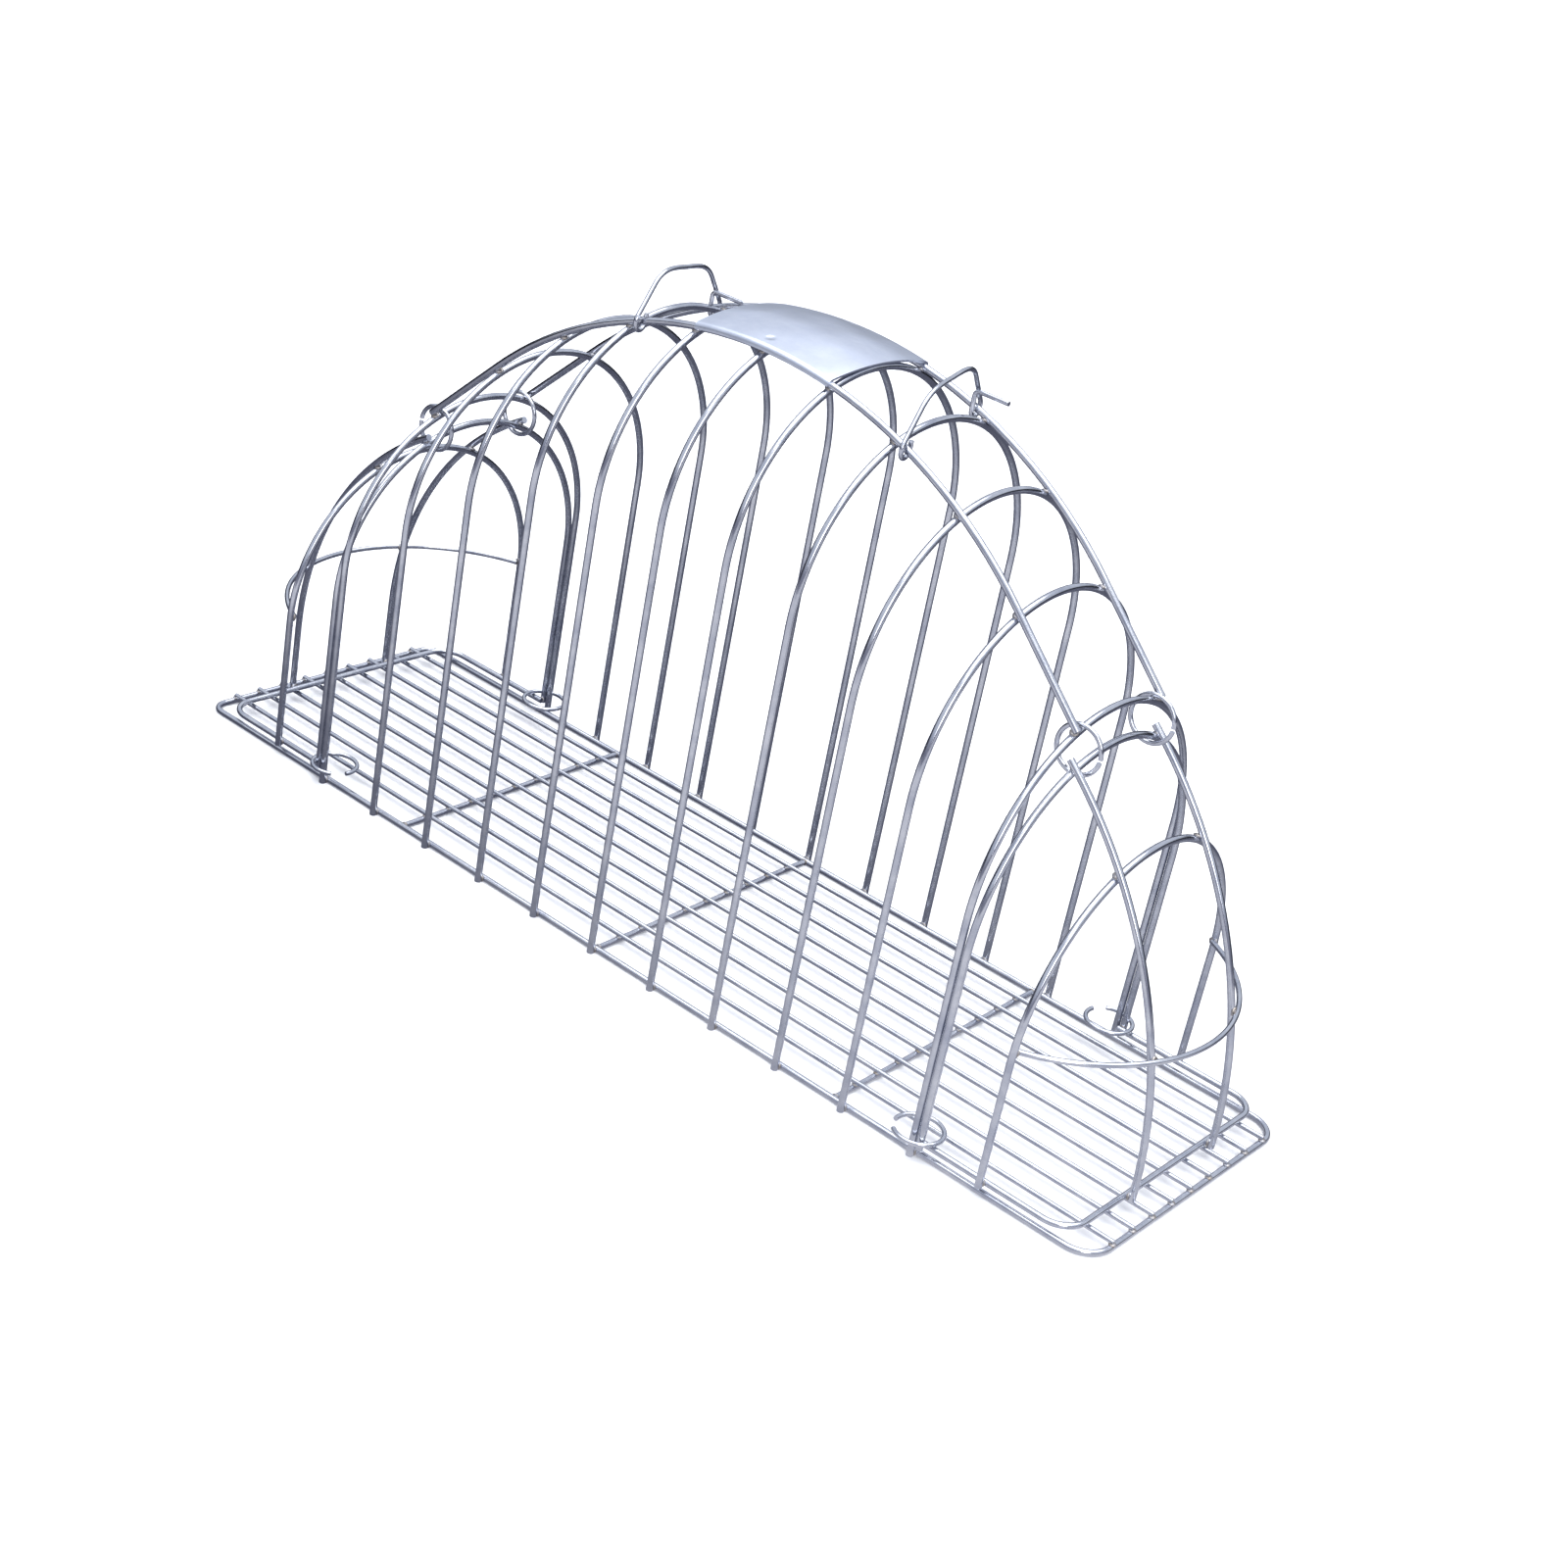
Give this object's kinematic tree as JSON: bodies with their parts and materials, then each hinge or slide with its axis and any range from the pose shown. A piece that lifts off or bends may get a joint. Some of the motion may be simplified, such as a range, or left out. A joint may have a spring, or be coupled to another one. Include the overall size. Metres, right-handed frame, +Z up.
{
  "type": "kennel cage",
  "caption": "Stainless wire cat cage with a half-moon dome, hinged wire end doors held by split rings, a sheet handle plate and wire bails.",
  "frame": {"origin": "middle of the footprint, on the ground", "axes": "+X along the cage to the right-hand door, -Y the front long side, +Z up"},
  "size_m": [0.6674, 0.2028, 0.3495],
  "materials": {
    "stainless_wire": "electropolished",
    "polished_sheet": "polished"
  },
  "bodies": {
    "cage": {"floor_ring": "stainless_wire", "floor_wire_1": "stainless_wire", "floor_wire_2": "stainless_wire", "floor_wire_3": "stainless_wire", "floor_wire_4": "stainless_wire", "floor_wire_5": "stainless_wire", "floor_wire_6": "stainless_wire", "floor_wire_7": "stainless_wire", "floor_wire_8": "stainless_wire", "floor_wire_9": "stainless_wire", "floor_cross_bar_left": "stainless_wire", "floor_cross_bar_middle": "stainless_wire", "floor_cross_bar_right": "stainless_wire", "body_hoop_1": "stainless_wire", "body_hoop_2": "stainless_wire", "body_hoop_3": "stainless_wire", "body_hoop_4": "stainless_wire", "body_hoop_5": "stainless_wire", "body_hoop_6": "stainless_wire", "body_hoop_7": "stainless_wire", "body_hoop_8": "stainless_wire", "body_hoop_9": "stainless_wire", "end_hoop_left": "stainless_wire", "end_hoop_right": "stainless_wire", "rail_front": "stainless_wire", "rail_rear": "stainless_wire", "handle_plate": "polished_sheet", "hinge_ring_left_front": "stainless_wire", "hinge_ring_left_rear": "stainless_wire", "hinge_ring_right_front": "stainless_wire", "hinge_ring_right_rear": "stainless_wire"},
    "left_door": {"left_door_hoop": "stainless_wire", "left_door_outer_hoop": "stainless_wire", "left_door_rim": "stainless_wire", "left_door_bow_bar": "stainless_wire", "left_door_arc_front": "stainless_wire", "left_door_arc_rear": "stainless_wire"},
    "right_door": {"right_door_hoop": "stainless_wire", "right_door_outer_hoop": "stainless_wire", "right_door_rim": "stainless_wire", "right_door_bow_bar": "stainless_wire", "right_door_arc_front": "stainless_wire", "right_door_arc_rear": "stainless_wire"},
    "latch_ring_left_front": {"latch_ring_left_front": "stainless_wire"},
    "latch_ring_left_rear": {"latch_ring_left_rear": "stainless_wire"},
    "latch_ring_right_front": {"latch_ring_right_front": "stainless_wire"},
    "latch_ring_right_rear": {"latch_ring_right_rear": "stainless_wire"},
    "bail_left": {"bail_left": "stainless_wire"},
    "bail_right": {"bail_right": "stainless_wire"}
  },
  "joints": [
    {"name": "left_door_hinge", "type": "hinge", "parent": "cage", "child": "left_door", "pos_m": [-0.2285, 0, 0.20418], "axis": [0, 1, 0], "range_deg": [0, 110]},
    {"name": "right_door_hinge", "type": "hinge", "parent": "cage", "child": "right_door", "pos_m": [0.2285, 0, 0.20418], "axis": [0, -1, 0], "range_deg": [0, 110]},
    {"name": "latch_ring_left_front_slide", "type": "slide", "parent": "left_door", "child": "latch_ring_left_front", "axis": [0, 0, 1], "range_m": [0, 0.09]},
    {"name": "latch_ring_left_rear_slide", "type": "slide", "parent": "left_door", "child": "latch_ring_left_rear", "axis": [0, 0, 1], "range_m": [0, 0.09]},
    {"name": "latch_ring_right_front_slide", "type": "slide", "parent": "right_door", "child": "latch_ring_right_front", "axis": [0, 0, 1], "range_m": [0, 0.09]},
    {"name": "latch_ring_right_rear_slide", "type": "slide", "parent": "right_door", "child": "latch_ring_right_rear", "axis": [0, 0, 1], "range_m": [0, 0.09]},
    {"name": "bail_right_swing", "type": "hinge", "parent": "cage", "child": "bail_right", "pos_m": [0.097, -0.0381, 0.31852], "axis": [-0.1927, 0.9788, 0.0699], "range_deg": [-20, 35]},
    {"name": "bail_left_swing", "type": "hinge", "parent": "cage", "child": "bail_left", "pos_m": [-0.082, -0.0381, 0.32396], "axis": [0.1927, -0.9788, 0.0699], "range_deg": [-20, 35]}
  ]
}
